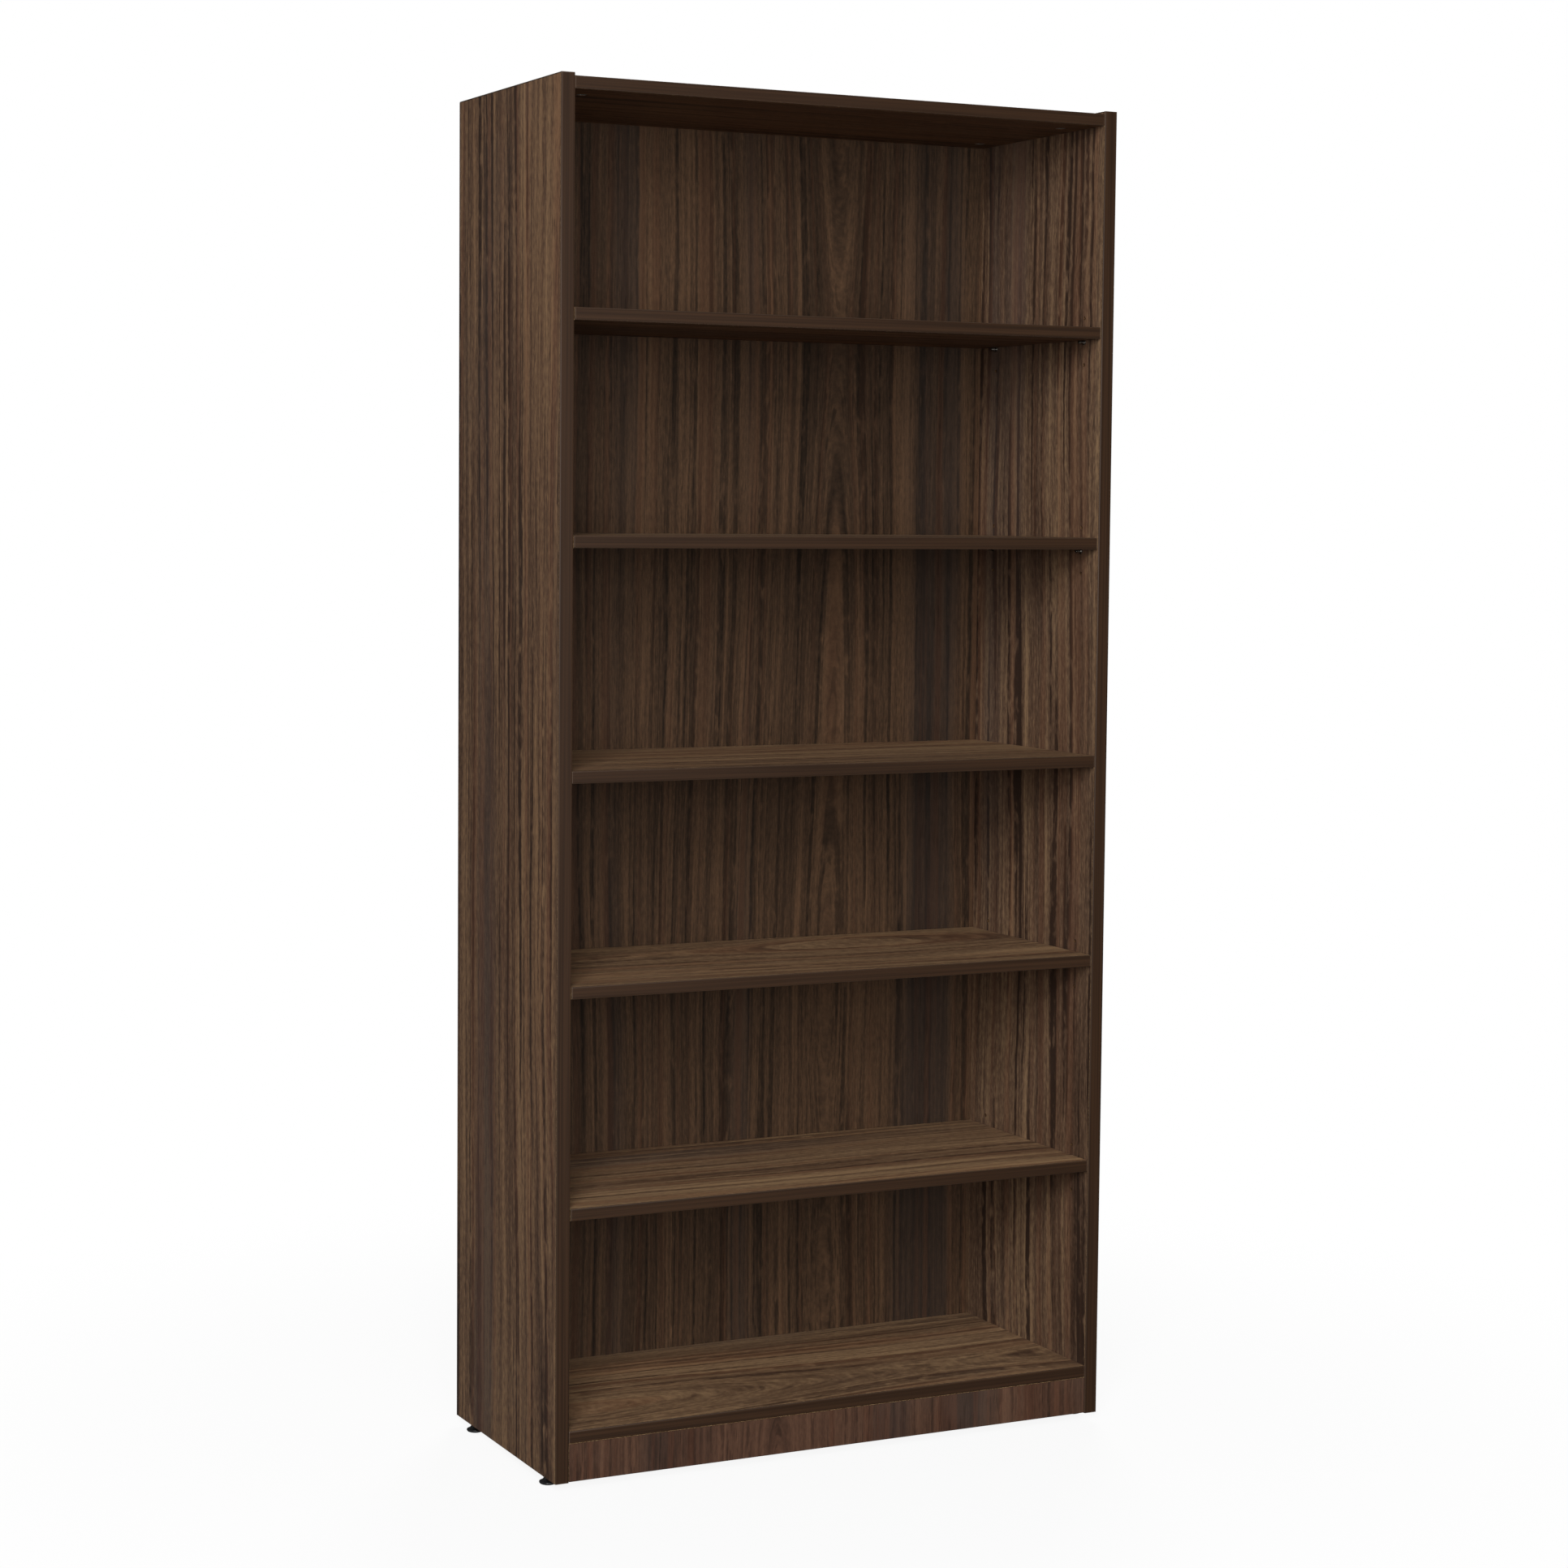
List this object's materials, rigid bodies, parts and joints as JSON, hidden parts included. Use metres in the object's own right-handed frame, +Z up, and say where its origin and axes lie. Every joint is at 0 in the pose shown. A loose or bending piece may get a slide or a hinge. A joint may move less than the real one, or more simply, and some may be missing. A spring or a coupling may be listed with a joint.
{
  "type": "bookcase with adjustable shelves",
  "caption": "Tall free-standing open bookcase in dark walnut laminate, with loose shelves on pins, a fixed middle shelf, a flush kick plate and screw glides.",
  "frame": {"origin": "on the floor, under the middle of the case", "axes": "+Z up, the open front faces -Y, +X to the right as seen from the front"},
  "size_m": [0.8178, 0.356, 1.803],
  "materials": {
    "walnut_laminate": "satin laminate with a fine straight walnut grain",
    "edge_band": "solid dark brown plastic band, satin, with rounded arrises",
    "back_laminate": "thin board with a printed walnut face and a plain brown rear",
    "zinc_plated_steel": "bright zinc plating",
    "cast_zinc": "dull grey cast zinc",
    "black_plastic": "moulded black plastic, slightly shiny"
  },
  "bodies": {
    "root": {"side_panel_left": "walnut_laminate", "side_band_left": "edge_band", "side_panel_right": "walnut_laminate", "side_band_right": "edge_band", "top_panel": "walnut_laminate", "top_panel_band": "edge_band", "fixed_shelf": "walnut_laminate", "fixed_shelf_band": "edge_band", "bottom_shelf": "walnut_laminate", "bottom_shelf_band": "edge_band", "kick_plate": "walnut_laminate", "back_panel": "back_laminate", "shelf_pin_1_front_left": "zinc_plated_steel", "shelf_pin_1_rear_left": "zinc_plated_steel", "shelf_pin_1_front_right": "zinc_plated_steel", "shelf_pin_1_rear_right": "zinc_plated_steel", "shelf_pin_2_front_left": "zinc_plated_steel", "shelf_pin_2_rear_left": "zinc_plated_steel", "shelf_pin_2_front_right": "zinc_plated_steel", "shelf_pin_2_rear_right": "zinc_plated_steel", "shelf_pin_3_front_left": "zinc_plated_steel", "shelf_pin_3_rear_left": "zinc_plated_steel", "shelf_pin_3_front_right": "zinc_plated_steel", "shelf_pin_3_rear_right": "zinc_plated_steel", "shelf_pin_4_front_left": "zinc_plated_steel", "shelf_pin_4_rear_left": "zinc_plated_steel", "shelf_pin_4_front_right": "zinc_plated_steel", "shelf_pin_4_rear_right": "zinc_plated_steel", "cam_fixing_top_panel_front_left": "cast_zinc", "cam_fixing_top_panel_rear_left": "cast_zinc", "cam_fixing_top_panel_front_right": "cast_zinc", "cam_fixing_top_panel_rear_right": "cast_zinc", "cam_fixing_fixed_shelf_front_left": "cast_zinc", "cam_fixing_fixed_shelf_rear_left": "cast_zinc", "cam_fixing_fixed_shelf_front_right": "cast_zinc", "cam_fixing_fixed_shelf_rear_right": "cast_zinc", "cam_fixing_bottom_shelf_front_left": "cast_zinc", "cam_fixing_bottom_shelf_rear_left": "cast_zinc", "cam_fixing_bottom_shelf_front_right": "cast_zinc", "cam_fixing_bottom_shelf_rear_right": "cast_zinc", "glide_nut_front_left": "zinc_plated_steel", "glide_nut_rear_left": "zinc_plated_steel", "glide_nut_front_right": "zinc_plated_steel", "glide_nut_rear_right": "zinc_plated_steel"},
    "adjustable_shelf_1": {"adjustable_shelf_1": "walnut_laminate", "adjustable_shelf_1_band": "edge_band"},
    "adjustable_shelf_2": {"adjustable_shelf_2": "walnut_laminate", "adjustable_shelf_2_band": "edge_band"},
    "adjustable_shelf_3": {"adjustable_shelf_3": "walnut_laminate", "adjustable_shelf_3_band": "edge_band"},
    "adjustable_shelf_4": {"adjustable_shelf_4": "walnut_laminate", "adjustable_shelf_4_band": "edge_band"},
    "glide_pad_front_left": {"glide_pad_front_left": "black_plastic"},
    "glide_stem_front_left": {"glide_stem_front_left": "zinc_plated_steel"},
    "glide_pad_rear_left": {"glide_pad_rear_left": "black_plastic"},
    "glide_stem_rear_left": {"glide_stem_rear_left": "zinc_plated_steel"},
    "glide_pad_front_right": {"glide_pad_front_right": "black_plastic"},
    "glide_stem_front_right": {"glide_stem_front_right": "zinc_plated_steel"},
    "glide_pad_rear_right": {"glide_pad_rear_right": "black_plastic"},
    "glide_stem_rear_right": {"glide_stem_rear_right": "zinc_plated_steel"}
  },
  "joints": [
    {"name": "shelf_1_lift", "type": "slide", "parent": "root", "child": "adjustable_shelf_1", "axis": [0, 0, 1], "range_m": [0, 0.265]},
    {"name": "shelf_2_lift", "type": "slide", "parent": "root", "child": "adjustable_shelf_2", "axis": [0, 0, 1], "range_m": [0, 0.258]},
    {"name": "shelf_3_lift", "type": "slide", "parent": "root", "child": "adjustable_shelf_3", "axis": [0, 0, 1], "range_m": [0, 0.254]},
    {"name": "shelf_4_lift", "type": "slide", "parent": "root", "child": "adjustable_shelf_4", "axis": [0, 0, 1], "range_m": [0, 0.258]},
    {"name": "glide_front_left_travel", "type": "slide", "parent": "root", "child": "glide_pad_front_left", "axis": [0, 0, -1], "range_m": [0, 0.008]},
    {"name": "glide_front_left_turn", "type": "hinge", "parent": "glide_pad_front_left", "child": "glide_stem_front_left", "pos_m": [-0.397, -0.131, 0.012], "axis": [0, 0, -1], "range_deg": [0, 2880]},
    {"name": "glide_rear_left_travel", "type": "slide", "parent": "root", "child": "glide_pad_rear_left", "axis": [0, 0, -1], "range_m": [0, 0.008]},
    {"name": "glide_rear_left_turn", "type": "hinge", "parent": "glide_pad_rear_left", "child": "glide_stem_rear_left", "pos_m": [-0.397, 0.131, 0.012], "axis": [0, 0, -1], "range_deg": [0, 2880]},
    {"name": "glide_front_right_travel", "type": "slide", "parent": "root", "child": "glide_pad_front_right", "axis": [0, 0, -1], "range_m": [0, 0.008]},
    {"name": "glide_front_right_turn", "type": "hinge", "parent": "glide_pad_front_right", "child": "glide_stem_front_right", "pos_m": [0.397, -0.131, 0.012], "axis": [0, 0, -1], "range_deg": [0, 2880]},
    {"name": "glide_rear_right_travel", "type": "slide", "parent": "root", "child": "glide_pad_rear_right", "axis": [0, 0, -1], "range_m": [0, 0.008]},
    {"name": "glide_rear_right_turn", "type": "hinge", "parent": "glide_pad_rear_right", "child": "glide_stem_rear_right", "pos_m": [0.397, 0.131, 0.012], "axis": [0, 0, -1], "range_deg": [0, 2880]}
  ],
  "couplings": [
    {"joint": "glide_front_left_turn", "follows": "glide_front_left_travel", "rad_per_m": 6283.2},
    {"joint": "glide_rear_left_turn", "follows": "glide_rear_left_travel", "rad_per_m": 6283.2},
    {"joint": "glide_front_right_turn", "follows": "glide_front_right_travel", "rad_per_m": 6283.2},
    {"joint": "glide_rear_right_turn", "follows": "glide_rear_right_travel", "rad_per_m": 6283.2}
  ]
}
